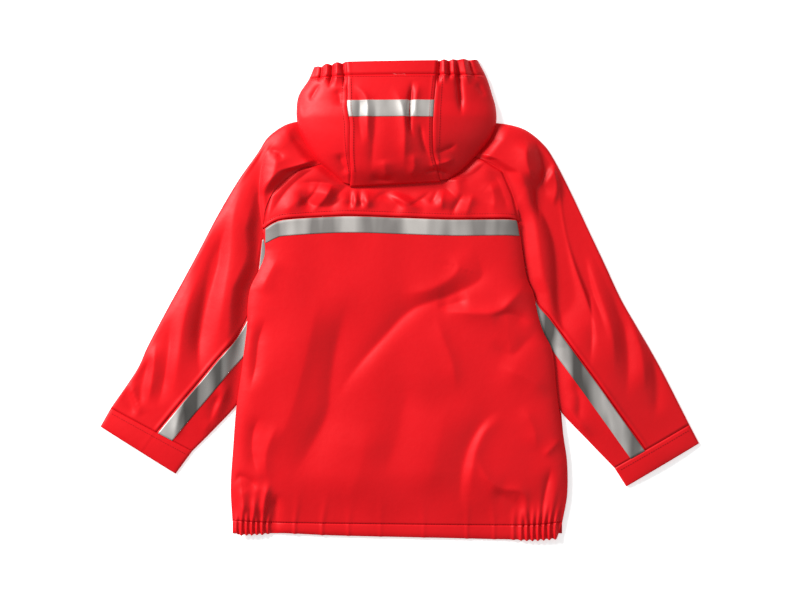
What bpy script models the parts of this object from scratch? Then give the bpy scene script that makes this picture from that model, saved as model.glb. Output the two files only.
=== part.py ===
"""Child's hooded rain jacket lying flat on its front, back up, with the hood folded down over the yoke.

Run with:  blender --background --python part.py

The jacket lies on the XY plane.  +Z is up, +Y runs from the hem to the hood, and -X is the wearer's left.
The origin is on the ground in the middle of the jacket.  Tables are in millimetres, objects in metres.
Every piece is one cloth wall.  Panels that lie flat are filled between their four edges.  Sleeves, cuffs and
hood are folded: each section runs over the top, round the fold and back underneath.
"""

import bpy
import numpy as np

MM = 0.001

# Cloth and seams
WALL = 1.0              # coated cloth with its seam allowance
TAPE_WALL = 0.5         # reflective tape
HEM_WALL = 1.8          # cloth turned twice
GAP = 0.3               # between pieces at a seam
SLANTED_GAP = 3 * GAP   # the same gap, along a section that runs nearly in line with the seam
LAYER = WALL + GAP      # height of the second layer of cloth
FOLD = (2 * WALL + GAP) / 2     # outer radius of a pressed fold
OVER_SLEEVE = WALL + 2 * GAP + TAPE_WALL    # extra height where the back lies over a taped sleeve

# How far the cloth stands up from the layer below
BODY_PUFF = 6.0
SLEEVE_PUFF = 7.0
RIPPLE, RIPPLE_RUN = 0.12, 9.0      # the sleeves' slight unevenness where they lie flat
GATHER_HEIGHT = 2.4
GATHER_PITCH = 7.0
GATHER_START, GATHER_RUN = 145.0, 15.0      # from the middle, and over what length the hem's gathers grow
HOOD_MARGIN = 20.0      # flat cloth this far round the hood
BODY_MARGIN = 13.0      # and this far outside the back's edges
BLEND = 26.0            # over which the puff grows past a margin
PUFF_RUN = 57.0         # over which the back's puff grows in from its sides and its hem
PUFF_LOW = -290.0
STEP_START, STEP_RUN = 22.0, 12.0       # the back's step up on to a sleeve, inside the sleeve's hidden fold
FOOT_RUN = (30.0, 50.0)     # the step's line below the underarm
UNDERARM = -150.0           # the sleeves' inner folds start above this

# Tapes and closure
TAPE_WIDTH = 20.0
SEAM_RIDGE = 2.0        # from the sleeve's back seam to its tape
TAPE_FOOT = 0.947       # the back tape's lower edge, as a share of the lower back's height
TAPE_INSET = 0.25       # how far the back tape's ends stand in from the armholes, as a share of a grid step
ZIP_HALF = 8.0
ZIP_TOP = 282.0
SLIDER_LENGTH = 11.0
SLIDER_HALF = 3.5
SLIDER_HEIGHT = 1.8
ZIP_RISES, ZIP_RISE_RUN = 198.0, 14.0       # where the zip steps up to the hood's underside
FRONT_HEM_EDGE = -291.5

# Hood heights: its underside rests on the yoke, and past the shoulders on the ground
HOOD_REST = 2 * WALL + 3 * GAP
HOOD_LEAVES_BODY = 226.0
HOOD_ON_GROUND = 250.0
# Shares of the hood's length, from its bottom fold to its mouth
HOOD_NECK = 0.354       # the neck seam, on its underside
HOOD_TAPE = (0.545, 0.61, 0.675)
HOOD_HEM = 0.885        # the stitching of the mouth casing
HOOD_HEM_GAP = 0.005
HOOD_SIDE_START = 0.035     # the side panels start here, past the point that they taper to

# Sleeve sections, from the cuff seam to the neck: the outer fold, the inner fold or raglan seam, and the
# middle of the tape as a share of the width.
# columns:  outer x, outer y, inner x, inner y, tape
SLEEVE_LEFT = (
    (-361, -135, -259, -189, 0.667),
    (-329, -88, -234, -164, 0.663),
    (-315, -58, -204, -132, 0.675),
    (-293, -16, -190, -108, 0.720),
    (-271, 24, -173, -80, 0.764),
    (-250, 63, -158, -50, 0.760),
    (-228, 105, -150, -25, 0.700),
    (-202, 149, -160, 40, 0.800),
    (-178, 183, -171, 88, 1.000),
    (-164, 204, -160, 131, 1.000),
    (-140, 220, -128, 161, 1.000),
    (-112, 224, -98, 170, 1.000),
    (-75, 222, -62, 187, 1.000),
)
SLEEVE_RIGHT = (
    (362, -156, 268, -210, 0.690),
    (330, -93, 236, -177, 0.680),
    (313, -62, 202, -141, 0.657),
    (296, -33, 187, -117, 0.675),
    (276, 2, 171, -88, 0.706),
    (256, 45, 156, -58, 0.751),
    (237, 85, 148, -30, 0.825),
    (214, 134, 146, 35, 0.960),
    (193, 175, 149, 97, 1.000),
    (178, 196, 141, 130, 1.000),
    (154, 214, 128, 160, 1.000),
    (121, 221, 104, 175, 1.000),
    (80, 221, 62, 190, 1.000),
)
# The outer end of each cuff.  columns:  outer x, outer y, inner x, inner y
CUFF_END_LEFT = (-374, -158, -280, -217)
CUFF_END_RIGHT = (374, -179, 283, -233)
RAGLAN = 8              # the section at the end of the yoke seam
NECK = 12               # the section at the neck
UNDER_END = 7.5         # the section where the sleeve's under panel ends in a point

# Side edges of the back below the yoke seam, from the hem stitching up.  columns:  x, y
SIDE_LEFT = (
    (-209, -275), (-211, -233), (-208, -184), (-204, -134), (-197, -83), (-191, -36),
    (-190, -8), (-187, 14), (-179, 31), (-171, 48), (-168, 63), (-171, 88),
)
SIDE_RIGHT = (
    (203, -277), (209, -243), (209, -204), (205, -174), (197, -121), (193, -79), (189, -59), (179, -39),
    (172, -16), (167, 9), (159, 27), (154, 56), (149, 97),
)
# The yoke seam, the hem stitching and the hem edge, from left to right.  columns:  x, y
YOKE_SEAM = ((-171, 88), (-156, 97), (-139, 101), (-68, 105), (4, 103), (63, 101), (136, 101), (149, 97))
HEM_STITCH = ((-209, -275), (-150, -278), (0, -280), (150, -281), (203, -277))
HEM_EDGE = ((-202, -293), (-150, -292), (-80, -295), (52, -298), (150, -300), (196, -298))
NECK_BACK = ((-62, 187), (0, 180), (62, 190))
NECK_FRONT_RISE = 11.0      # the fronts reach the hood's chin, past the back neck

# Hood sections from the bottom fold to the mouth: the two seams of the middle panel, the two side folds,
# how high it bulges, and how far out of the bulge's half-width the seams stand.
# columns:  left seam x, y, left fold x, y, right seam x, y, right fold x, y, height, seam share
HOOD = (
    (-62, 141, -68, 144, 51, 147, 57, 149, 2, 0.93),
    (-61, 160, -86, 160, 47, 163, 76, 161, 17, 0.72),
    (-62, 180, -105, 177, 42, 182, 95, 180, 24, 0.60),
    (-62, 200, -119, 198, 41, 200, 112, 200, 28, 0.50),
    (-62, 220, -127, 217, 41, 220, 120, 219, 30, 0.48),
    (-65, 240, -129, 237, 42, 240, 120, 239, 30, 0.48),
    (-65, 259, -126, 256, 44, 260, 115, 258, 28, 0.48),
    (-66, 278, -114, 275, 46, 279, 108, 279, 25, 0.50),
    (-67, 296, -107, 291, 48, 298, 97, 300, 22, 0.52),
)

# Large soft folds of the back.  columns:  start x, y, end x, y, half-width, height (below zero, a trough)
BACK_FOLDS = (
    (-150, -30, -60, 40, 26, 3.0),
    (-110, -140, 20, -20, 30, -3.0),
    (-160, -220, -60, -120, 28, 2.5),
    (0, -30, 100, 20, 24, 4.0),
    (-12, -39, 40, 0, 16, -3.5),
    (138, -136, 90, -215, 22, 3.0),
    (110, -60, 150, -150, 24, -2.5),
)

# Finishes: colour, roughness, metallic
FINISHES = {
    "coated_cloth": ((0.72, 0.012, 0.022, 1.0), 0.38, 0.0),
    "reflective_tape": ((0.52, 0.53, 0.54, 1.0), 0.32, 0.6),
    "zip_plastic": ((0.55, 0.010, 0.016, 1.0), 0.45, 0.0),
}


# ---------------------------------------------------------------- curves and heights

def spline(table, where):
    """Points on a smooth curve through a table's rows; `where` counts rows from 0."""
    table = np.asarray(table, float)
    where = np.clip(np.asarray(where, float), 0, len(table) - 1)
    row = np.minimum(where.astype(int), len(table) - 2)
    t = (where - row)[..., None]
    ends = np.vstack([2 * table[:1] - table[1:2], table, 2 * table[-1:] - table[-2:-1]])
    a, b, c, d = ends[row], ends[row + 1], ends[row + 2], ends[row + 3]
    return b + 0.5 * t * (c - a + t * (2 * a - 5 * b + 4 * c - d + t * (3 * (b - c) + d - a)))


def along(table, share):
    """Points at given shares of the length of a smooth curve through a table's x, y rows."""
    fine = spline(table, np.linspace(0, len(table) - 1, 30 * len(table)))
    run = np.concatenate([[0], np.cumsum(np.linalg.norm(np.diff(fine, axis=0), axis=1))])
    return np.stack([np.interp(share * run[-1], run, fine[:, k]) for k in (0, 1)], -1)


def ease(x):
    """0 below 0, 1 above 1 and a smooth step between."""
    x = np.clip(x, 0, 1)
    return x * x * (3 - 2 * x)


def between(table, y):
    """x of an edge at height y, by straight lines between its rows."""
    rows = np.asarray(table, float)
    rows = rows[np.argsort(rows[:, 1])]
    return np.interp(y, rows[:, 1], rows[:, 0])


def hood_clearance(x, y):
    """0 under the hood and just round it, 1 well away from it."""
    hood = np.asarray(HOOD, float)
    left = np.interp(y, hood[:, 3], hood[:, 2])
    right = np.interp(y, hood[:, 7], hood[:, 6])
    away = np.maximum(np.maximum(left - x, x - right), HOOD[0][1] - y)
    return ease((away - HOOD_MARGIN) / BLEND)


def folds(x, y):
    """Sum of soft ridges and troughs: each falls off as a bell curve from its line and past its ends."""
    total = np.zeros(np.broadcast(x, y).shape)
    for x0, y0, x1, y1, half, height in BACK_FOLDS:
        length = np.hypot(x1 - x0, y1 - y0)
        along_x, along_y = (x1 - x0) / length, (y1 - y0) / length
        run = (x - x0) * along_x + (y - y0) * along_y
        off = (x - x0) * along_y - (y - y0) * along_x
        past = np.maximum(0, np.maximum(-run, run - length))
        total += height * np.exp(-(off**2 + past**2) / half**2)
    return total


def body_sides(y):
    """x of the back's left and right edges: its sides, and its raglan seams above the yoke seam."""
    left = SIDE_LEFT + tuple(row[2:4] for row in SLEEVE_LEFT[RAGLAN + 1:])
    right = SIDE_RIGHT + tuple(row[2:4] for row in SLEEVE_RIGHT[RAGLAN + 1:])
    return between(left, y), between(right, y)


def body_clearance(x, y):
    """0 under the back's side and just past it, 1 well outside it."""
    left, right = body_sides(y)
    return ease((np.maximum(left - x, x - right) - BODY_MARGIN) / BLEND)


def over_sleeve(x, y):
    """1 where the back lies over a sleeve's hidden edge, 0 elsewhere."""
    result = np.zeros(np.broadcast(x, y).shape)
    for sign, sleeve in ((-1, SLEEVE_LEFT), (1, SLEEVE_RIGHT)):
        hidden = [row[2:4] for row in sleeve[2:RAGLAN + 1]]
        foot = hidden[0]
        hidden = [(foot[0] + sign * FOOT_RUN[0], foot[1] - FOOT_RUN[1])] + hidden
        out = sign * (x - between(hidden, y))
        result = np.maximum(result, ease((out + STEP_START) / STEP_RUN))
    return result


def body_lift(x, y, yoke=False):
    """Height of the underside of the back: it rests on the front and over the sleeves, and puffs between."""
    left, right = body_sides(y)
    inside = np.minimum(x - left, right - x)
    rise = ease(inside / PUFF_RUN) * hood_clearance(x, y) * ease((y - PUFF_LOW) / PUFF_RUN)
    puff = (BODY_PUFF + folds(x, y)) * rise
    return LAYER + puff + (0 if yoke else OVER_SLEEVE * over_sleeve(x, y))


# ---------------------------------------------------------------- meshes

def finish(name):
    """The named Principled material, made once."""
    material = bpy.data.materials.get(name)
    if material is None:
        colour, roughness, metallic = FINISHES[name]
        material = bpy.data.materials.new(name)
        material.use_nodes = True
        shader = material.node_tree.nodes["Principled BSDF"]
        shader.inputs["Base Color"].default_value = colour
        shader.inputs["Roughness"].default_value = roughness
        shader.inputs["Metallic"].default_value = metallic
        material.diffuse_color = colour
    return material


def cloth(name, grid, outward, wall=WALL, material="coated_cloth", ring=False):
    """One piece of cloth from a grid of points (rows, columns, xyz).

    `outward` puts the wall above the grid (True) or under it (False), as the first face looks up.
    `ring` joins the last column to the first.
    """
    rows, columns = grid.shape[:2]
    index = np.arange(rows * columns).reshape(rows, columns)
    right = np.roll(index, -1, axis=1)
    if not ring:
        index, right = index[:, :-1], right[:, :-1]
    quads = np.stack([index[:-1], right[:-1], right[1:], index[1:]], -1).reshape(-1, 4)
    points = grid.reshape(-1, 3)
    a, b, c = points[quads[0][:3]]
    if np.cross(b - a, c - a)[2] < 0:
        quads = quads[:, ::-1]
    mesh = bpy.data.meshes.new(name)
    mesh.from_pydata((points * MM).tolist(), [], quads.tolist())
    mesh.shade_smooth()
    mesh.materials.append(finish(material))
    piece = bpy.data.objects.new(name, mesh)
    jacket.objects.link(piece)
    thick = piece.modifiers.new("wall", "SOLIDIFY")
    thick.thickness = wall * MM
    thick.offset = 1 if outward else -1
    return piece


def block(name, low, high, material):
    """A plain box between two corners."""
    low, high = np.array(low) * MM, np.array(high) * MM
    bpy.ops.mesh.primitive_cube_add(size=1, location=(low + high) / 2)
    piece = bpy.context.object
    piece.name = name
    piece.data.name = name
    piece.scale = high - low
    piece.data.materials.append(finish(material))
    for owner in list(piece.users_collection):
        owner.objects.unlink(piece)
    jacket.objects.link(piece)
    return piece


def filled(bottom, top, left, right, height=None):
    """Plan points of a panel between four sampled edges: two ruled blends less the corners' blend."""
    u = np.linspace(0, 1, len(bottom))[None, :, None]
    v = (np.linspace(0, 1, len(left)) if height is None else height)[:, None, None]
    ruled = (1 - v) * bottom[None] + v * top[None] + (1 - u) * left[:, None] + u * right[:, None]
    low = (1 - u) * bottom[0] + u * bottom[-1]
    high = (1 - u) * top[0] + u * top[-1]
    return ruled - (1 - v) * low - v * high


def raised(plan, height):
    """Plan points with a height each."""
    return np.concatenate([plan, np.broadcast_to(height, plan.shape[:2])[..., None]], -1)


def rounded(start, across, height):
    """Points round a pressed fold that starts at `start` and faces away from `across`, from top to bottom."""
    turn = np.radians([50, 0, -50])[None, :, None]
    plan = start[:, None] + across[:, None] * FOLD * (1 - np.cos(turn))
    return raised(plan, height[:, None] + FOLD * (1 + np.sin(turn[..., 0])))


# ---------------------------------------------------------------- body

def sleeve_edge(sleeve, where):
    """Plan points of a sleeve's inner fold and raglan seam, at given sections."""
    return spline(sleeve, where)[:, 2:4]


def make_back():
    """Lower back, the tape on its top rows, and the yoke above the seam."""
    share = np.linspace(0, 1, 19)
    seam = along(YOKE_SEAM, share)
    low_seam = seam - [0, GAP]
    height = np.concatenate([np.linspace(0, TAPE_FOOT, 13), [(1 + TAPE_FOOT) / 2, 1]])
    left = along(SIDE_LEFT[:-1] + (tuple(low_seam[0]),), height)
    right = along(SIDE_RIGHT[:-1] + (tuple(low_seam[-1]),), height)
    plan = filled(along(HEM_STITCH, share), low_seam, left, right, height)
    back = raised(plan, body_lift(plan[..., 0], plan[..., 1]))
    cloth("back_body", back, True)
    strip = back[-3:] + [0, 0, WALL + GAP]
    strip[:, [0, -1]] += (strip[:, [1, -2]] - strip[:, [0, -1]]) * TAPE_INSET
    strip[-1, :, 1] -= GAP
    cloth("tape_back", strip, True, wall=TAPE_WALL, material="reflective_tape")

    where = np.linspace(RAGLAN, NECK, 9)
    left = sleeve_edge(SLEEVE_LEFT, where) + [GAP, 0]
    right = sleeve_edge(SLEEVE_RIGHT, where) - [GAP, 0]
    seam[0] = left[0]
    seam[-1] = right[0]
    plan = filled(seam, along(NECK_BACK, share), left, right)
    cloth("back_yoke", raised(plan, body_lift(plan[..., 0], plan[..., 1], yoke=True)), True)


def make_fronts():
    """The fronts lie flat on the ground.  They meet the sleeves' folds and the raglan seams."""
    where = np.concatenate([np.arange(2, RAGLAN), np.linspace(RAGLAN, NECK, 9)])
    sides = (("left", -1, SLEEVE_LEFT, SIDE_LEFT), ("right", 1, SLEEVE_RIGHT, SIDE_RIGHT))
    for side, sign, sleeve, body_side in sides:
        low = [row for row in body_side if row[1] < UNDERARM]
        outer = np.vstack([along(low, np.array([0, 0.5, 1])), sleeve_edge(sleeve, where)])
        outer[:, 0] -= sign * GAP / 2
        centre_x = sign * (ZIP_HALF + GAP)
        centre_y = np.linspace(outer[0, 1], outer[-1, 1] + NECK_FRONT_RISE, len(outer))
        centre = np.stack([np.full(len(outer), centre_x), centre_y], -1)
        share = np.linspace(0, 1, 7)[:, None]
        hem = outer[0] + (centre[0] - outer[0]) * share
        neck = outer[-1] + (centre[-1] - outer[-1]) * share
        cloth(f"front_{side}", raised(filled(hem, neck, outer, centre), 0.0), True)
        edge = hem - [0, GAP]
        end = np.stack([edge[:, 0], np.full(7, FRONT_HEM_EDGE)], -1)
        band = np.stack([edge, end])
        cloth(f"hem_front_{side}", raised(band, 0.0), True)


def make_closure():
    """The closed zip runs flat from the hem to the neck, then between the hood's chin parts to its slider."""
    y = np.concatenate([[FRONT_HEM_EDGE], np.linspace(ZIP_RISES, ZIP_TOP, 12)])
    height = hood_rest(y) * ease((y - ZIP_RISES) / ZIP_RISE_RUN)
    plan = np.stack([np.stack([np.full(len(y), x), y], -1) for x in (-ZIP_HALF, ZIP_HALF)], 1)
    cloth("front_zip", raised(plan, height[:, None]), True, material="zip_plastic")
    low = ZIP_TOP + GAP
    high = low + SLIDER_LENGTH
    block("zip_slider", (-SLIDER_HALF, low, 0), (SLIDER_HALF, high, SLIDER_HEIGHT), "zip_plastic")


def make_back_hem():
    """The turned hem lies on the front hem, and elastic gathers it at both side seams."""
    share = np.linspace(0, 1, 45)
    top = along(HEM_STITCH, share) - [0, GAP]
    plan = np.stack([top, (top + along(HEM_EDGE, share)) / 2, along(HEM_EDGE, share)])
    x = plan[..., 0]
    gathered = ease((np.abs(x) - GATHER_START) / GATHER_RUN)
    ripple = gathered * GATHER_HEIGHT * (0.5 + 0.5 * np.cos(2 * np.pi * x / (2 * GATHER_PITCH)))
    cloth("hem_back", raised(plan, LAYER + ripple), True, wall=HEM_WALL)


# ---------------------------------------------------------------- sleeves

def sleeve_rows(sleeve, where):
    """Outer points, unit direction across, width and tape share of a sleeve's sections."""
    rows = spline(sleeve, where)
    outer, inner = rows[:, :2], rows[:, 2:4]
    width = np.linalg.norm(inner - outer, axis=1)
    return outer, (inner - outer) / width[:, None], width, np.clip(rows[:, 4], 0, 1)


def sleeve_top(outer, across, width, share):
    """Points of a sleeve's upper side at given shares of its width: it puffs where nothing covers it."""
    plan = outer[:, None] + across[:, None] * (width[:, None] * share)[..., None]
    x, y = plan[..., 0], plan[..., 1]
    bulge = np.sin(np.pi * np.clip(share, 0, 1)) ** 0.8
    puff = SLEEVE_PUFF * bulge * hood_clearance(x, y) * body_clearance(x, y)
    return raised(plan, 2 * FOLD + puff + RIPPLE * np.sin(x / RIPPLE_RUN) * np.cos(y / RIPPLE_RUN))


def sleeve_seam(tape, width, where):
    """Share of the width where the back seam runs, along the tape's outer edge."""
    seam = tape - (TAPE_WIDTH / 2 + SEAM_RIDGE) / width
    return seam + (1 - seam) * ease(where - RAGLAN + 1)


def sleeve_floor(outer, across, width, share):
    """Points of a sleeve's underside, flat on the ground."""
    return raised(outer[:, None] + across[:, None] * (width[:, None] * share)[..., None], 0.0)


def shares(start, stop, count):
    """For each section, evenly spaced shares of the width from start to stop."""
    return start[:, None] + (stop - start)[:, None] * np.linspace(0, 1, count)


def fold_slant(edge, across):
    """How much longer a fold runs along sections that cross its edge at a slant: 1 / sin(angle), at most 5."""
    way = np.gradient(edge, axis=0)
    way = way / np.linalg.norm(way, axis=1)[:, None]
    return 1 / np.maximum(0.2, np.abs(across[:, 0] * way[:, 1] - across[:, 1] * way[:, 0]))


def make_upper_sleeve(side, sleeve):
    """From the back seam over the outer fold to the seam underneath."""
    where = np.concatenate([[0.01], np.arange(1, RAGLAN), [UNDER_END], np.linspace(RAGLAN, NECK, 9)])
    outer, across, width, tape = sleeve_rows(sleeve, where)
    edge = FOLD / width
    clear = np.where(where >= RAGLAN, SLANTED_GAP, GAP) / width
    seam = sleeve_seam(tape, width, where) - clear
    top = sleeve_top(outer, across, width, shares(seam, edge, 7))
    turned = rounded(outer, across, np.zeros(len(where)))
    floor = sleeve_floor(outer, across, width, shares(edge, seam, 5))
    cloth(f"sleeve_upper_{side}", np.concatenate([top, turned, floor], 1), False)


def make_under_sleeve(side, sleeve):
    """From the back seam round the inner fold, narrowing to the yoke seam, with the tape on top."""
    where = np.concatenate([[0.01], np.arange(1, RAGLAN), [UNDER_END]])
    outer, across, width, tape = sleeve_rows(sleeve, where)
    half = TAPE_WIDTH / 2 / width
    seam = sleeve_seam(tape, width, where)
    slant = fold_slant(outer + across * width[:, None], across)
    edge = 1 - (FOLD * slant + GAP) / width
    tape_low = np.maximum(tape - half, seam + SEAM_RIDGE / 2 / width)
    tape_high = np.minimum(tape + half, edge - SEAM_RIDGE / 2 / width)
    share = np.stack([seam, tape_low, (tape_low + tape_high) / 2, tape_high, edge], -1)
    top = sleeve_top(outer, across, width, share)
    fold = outer + across * (width - GAP)[:, None]
    turned = rounded(fold, -across * slant[:, None], np.zeros(len(where)))
    floor = sleeve_floor(outer, across, width, shares(edge, seam, 4))
    cloth(f"sleeve_under_{side}", np.concatenate([top, turned, floor], 1), False)
    strip = top[:-1, 1:4] + [0, 0, GAP]
    cloth(f"tape_sleeve_{side}", strip, True, wall=TAPE_WALL, material="reflective_tape")


def make_cuff(side, sleeve, end):
    """A turned hem: a flattened ring of cloth past the end of the sleeve."""
    outer0, across0, width0 = sleeve_rows(sleeve, np.array([0.0]))[:3]
    near = np.concatenate([outer0[0], outer0[0] + across0[0] * (width0[0] - GAP)])
    far = np.array(end, float)
    step = (far - near)[:2]
    near = near + np.tile(step / np.linalg.norm(step) * GAP, 2)
    rows = near + (far - near) * np.linspace(0, 1, 3)[:, None]
    outer, inner = rows[:, :2], rows[:, 2:]
    width = np.linalg.norm(inner - outer, axis=1)
    across = (inner - outer) / width[:, None]
    edge = FOLD / width
    share = (1 - edge)[:, None] + (2 * edge - 1)[:, None] * np.linspace(0, 1, 8)[None]
    top = sleeve_top(outer, across, width, share)
    under = sleeve_floor(outer, across, width, share[:, ::-1])
    level = np.zeros(3)
    outer_fold = rounded(outer, across, level)
    inner_fold = rounded(inner, -across, level)[:, ::-1]
    grid = np.concatenate([top, outer_fold, under, inner_fold], 1)
    cloth(f"cuff_{side}", grid, False, ring=True)


# ---------------------------------------------------------------- hood

def hood_rest(y):
    """Height of the hood's underside: on the yoke, then down to the ground past the shoulders."""
    return HOOD_REST * (1 - ease((y - HOOD_LEAVES_BODY) / (HOOD_ON_GROUND - HOOD_LEAVES_BODY)))


def hood_section(length):
    """The HOOD table's columns at shares of the hood's length: four points, bulge height and seam share."""
    rows = spline(HOOD, length * (len(HOOD) - 1))
    return rows[:, 0:2], rows[:, 2:4], rows[:, 4:6], rows[:, 6:8], rows[:, 8], rows[:, 9]


def hood_height(plan, bulge, spread):
    """Height of the hood's outside: a bulge that closes on the pressed fold where spread reaches 1."""
    dome = np.clip(1 - np.abs(spread) ** 2.4, 0, 1) ** 0.6
    return hood_rest(plan[..., 1]) + 2 * FOLD + bulge[:, None] * dome


def hood_middle(length, columns=7):
    """Upper side of the middle panel between its two seams."""
    left, _, right, _, bulge, seam = hood_section(length)
    u = np.linspace(0, 1, columns)[None]
    plan = left[:, None] + (right - left)[:, None] * u[..., None]
    return raised(plan, hood_height(plan, bulge, seam[:, None] * (2 * u - 1)))


def hood_side(side, length, columns, ripple=0.0):
    """A side panel: over the top from the seam, round the side fold and back underneath."""
    left_seam, left_fold, right_seam, right_fold, bulge, seam_share = hood_section(length)
    seam, fold = (left_seam, left_fold) if side == "left" else (right_seam, right_fold)
    width = np.linalg.norm(fold - seam, axis=1)
    out = (fold - seam) / width[:, None]
    start, stop = GAP / width, 1 - FOLD / width
    u = start[:, None] + (stop - start)[:, None] * np.linspace(0, 1, columns)[None]
    plan = seam[:, None] + out[:, None] * (width[:, None] * u)[..., None]
    spread = seam_share[:, None] + (1 - seam_share[:, None]) * u
    top = raised(plan, hood_height(plan, bulge, spread))
    top[..., 2] += ripple * (0.5 - 0.5 * np.cos(2 * np.pi * width[:, None] * u / (2 * GATHER_PITCH)))
    turned = rounded(fold, -out, hood_rest(fold[:, 1]))
    # underneath, the panel ends at the middle panel's seam, and past the neck at the front closure
    chin = ease((length - HOOD_NECK) / 0.12)
    front_x = np.where(side == "left", -1, 1) * (ZIP_HALF + GAP)
    end_x = (seam + out * GAP)[:, 0]
    end = np.stack([end_x + (front_x - end_x) * chin, seam[:, 1]], -1)
    begin = plan[:, -1]
    under = begin[:, None] + (end - begin)[:, None] * np.linspace(0, 1, 5)[None, :, None]
    return np.concatenate([top, turned, raised(under, hood_rest(under[..., 1]))], 1)


def make_hood():
    length = np.concatenate([np.linspace(0, HOOD_NECK, 5), [0.45], HOOD_TAPE, [0.78, HOOD_HEM]])
    # middle panel: down from the casing, round the bottom fold and back under to the neck seam
    top = hood_middle(length[::-1])
    bottom = top[-1, :, :2].copy()
    top[-1, :, 1] += FOLD
    upwards = np.tile([0.0, 1.0], (len(bottom), 1))
    turned = rounded(bottom, upwards, hood_rest(bottom[:, 1])).transpose(1, 0, 2)
    under = hood_middle(np.linspace(0, HOOD_NECK, 5))
    under[0, :, 1] += FOLD
    under[-1, :, 1] -= GAP
    under[..., 2] = hood_rest(under[..., 1])
    cloth("hood_middle", np.concatenate([top, turned, under]), False)
    tape = hood_middle(np.array(HOOD_TAPE)) + [0, 0, GAP]
    cloth("tape_hood", tape, True, wall=TAPE_WALL, material="reflective_tape")

    hem = np.linspace(HOOD_HEM + HOOD_HEM_GAP, 1, 3)
    cloth("hood_casing_middle", hood_middle(hem), False)
    length[0] = HOOD_SIDE_START
    for side in ("left", "right"):
        cloth(f"hood_side_{side}", hood_side(side, length, 7), False)
        cloth(f"hood_casing_{side}", hood_side(side, hem, 14, ripple=GATHER_HEIGHT), False)


# ---------------------------------------------------------------- build

for old in list(bpy.data.objects):
    bpy.data.objects.remove(old, do_unlink=True)

jacket = bpy.data.collections.new("kids_rain_jacket")
bpy.context.scene.collection.children.link(jacket)

make_fronts()
make_closure()
make_back()
make_back_hem()
for side, sleeve, cuff_end in (("left", SLEEVE_LEFT, CUFF_END_LEFT), ("right", SLEEVE_RIGHT, CUFF_END_RIGHT)):
    make_upper_sleeve(side, sleeve)
    make_under_sleeve(side, sleeve)
    make_cuff(side, sleeve, cuff_end)
make_hood()
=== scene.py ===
"""Child's coated rain jacket lying on its front: the cloth, tapes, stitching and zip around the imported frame.

Lengths in tables and formulas are millimetres in the frame's own axes: +X to the wearer's right, +Y from the
hem to the hood, +Z up from the surface.  They become metres when a mesh is made.
"""

import math

import bpy
import numpy as np
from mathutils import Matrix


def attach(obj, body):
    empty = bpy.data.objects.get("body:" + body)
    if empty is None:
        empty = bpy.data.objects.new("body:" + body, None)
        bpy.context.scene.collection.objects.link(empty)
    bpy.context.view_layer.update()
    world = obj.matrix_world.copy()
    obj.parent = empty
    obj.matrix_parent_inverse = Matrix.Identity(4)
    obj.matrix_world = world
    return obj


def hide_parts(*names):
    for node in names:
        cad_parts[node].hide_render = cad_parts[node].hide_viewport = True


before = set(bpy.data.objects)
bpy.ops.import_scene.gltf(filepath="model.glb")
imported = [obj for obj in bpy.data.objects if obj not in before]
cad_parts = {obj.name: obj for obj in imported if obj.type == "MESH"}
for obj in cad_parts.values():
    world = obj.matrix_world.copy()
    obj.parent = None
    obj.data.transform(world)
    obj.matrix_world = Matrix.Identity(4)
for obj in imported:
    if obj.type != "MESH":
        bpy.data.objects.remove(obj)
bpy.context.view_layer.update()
MM = 0.001

# ---------------------------------------------------------------- camera

VIEW_WIDTH = 1.0            # metres of floor across the picture
CAMERA_X = 0.0003
CAMERA_HEIGHT = 3.2
SENSOR = 36.0


def placed(name, data):
    """A new object in the scene."""
    thing = bpy.data.objects.new(name, data)
    bpy.context.scene.collection.objects.link(thing)
    return thing


def make_camera():
    """A long lens straight above the jacket, with the hood at the top of the picture."""
    data = bpy.data.cameras.new("camera")
    data.sensor_width = SENSOR
    data.lens = SENSOR * CAMERA_HEIGHT / VIEW_WIDTH
    camera = placed("camera", data)
    camera.location = (CAMERA_X, 0.0, CAMERA_HEIGHT)
    bpy.context.scene.camera = camera


make_camera()

# ---------------------------------------------------------------- sizes of the cut, as in the frame

WALL = 1.0
CLOTH = 0.7                 # thickness of the coated cloth itself
HEM_CLOTH = 0.9             # the turned hem of the back
TAPE_CLOTH = 0.3
GAP = 0.3
FOLD = (2 * WALL + GAP) / 2
OVER_SLEEVE = WALL + 3 * GAP + TAPE_CLOTH
TAPE_WIDTH = 20.0
SEAM_RIDGE = 2.0
TAPE_FOOT = 0.947           # share of the lower back's height where its tape starts
TAPE_LIFT = 0.42            # a tape's outside above the cloth's
TOPSTITCH = 6.4             # from the yoke seam to its topstitching
SEAM_THREAD, BODY_THREAD, CASING_THREAD = 0.30, 0.35, 0.45      # a stitch's middle above the cloth
HEM_FLOOR = 2.15            # the back hem's outside comes no lower
HEM_LINE = -279.0           # the gathers fade above this
YOKE_LAP, YOKE_TUCK = 1.2, 0.9      # how far the yoke's sides run under the sleeves, and dip
ZIP_HALF, ZIP_TOP = 8.0, 282.0
ZIP_RISES, ZIP_RISE_RUN = 198.0, 14.0

BODY_PUFF = 8.0
SLEEVE_PUFF = 9.5
RAGLAN_RISE = 5.0
CRISP = 0.45                # how much of a crease's softness is left: 0 is a sharp ridge line, 1 a bell curve

RAGLAN, NECK, UNDER_END = 8, 12, 7.5
HOOD_REST = 2 * WALL + 3 * GAP
HOOD_LEAVES_BODY, HOOD_ON_GROUND = 226.0, 250.0
HOOD_NECK, HOOD_HEM, HOOD_HEM_GAP, HOOD_SIDE_START = 0.354, 0.885, 0.0003, 0.02
HOOD_TAPE = (0.545, 0.675)
HOOD_LENGTH = 168.0
CASING_STITCH = HOOD_HEM - 0.016

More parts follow.
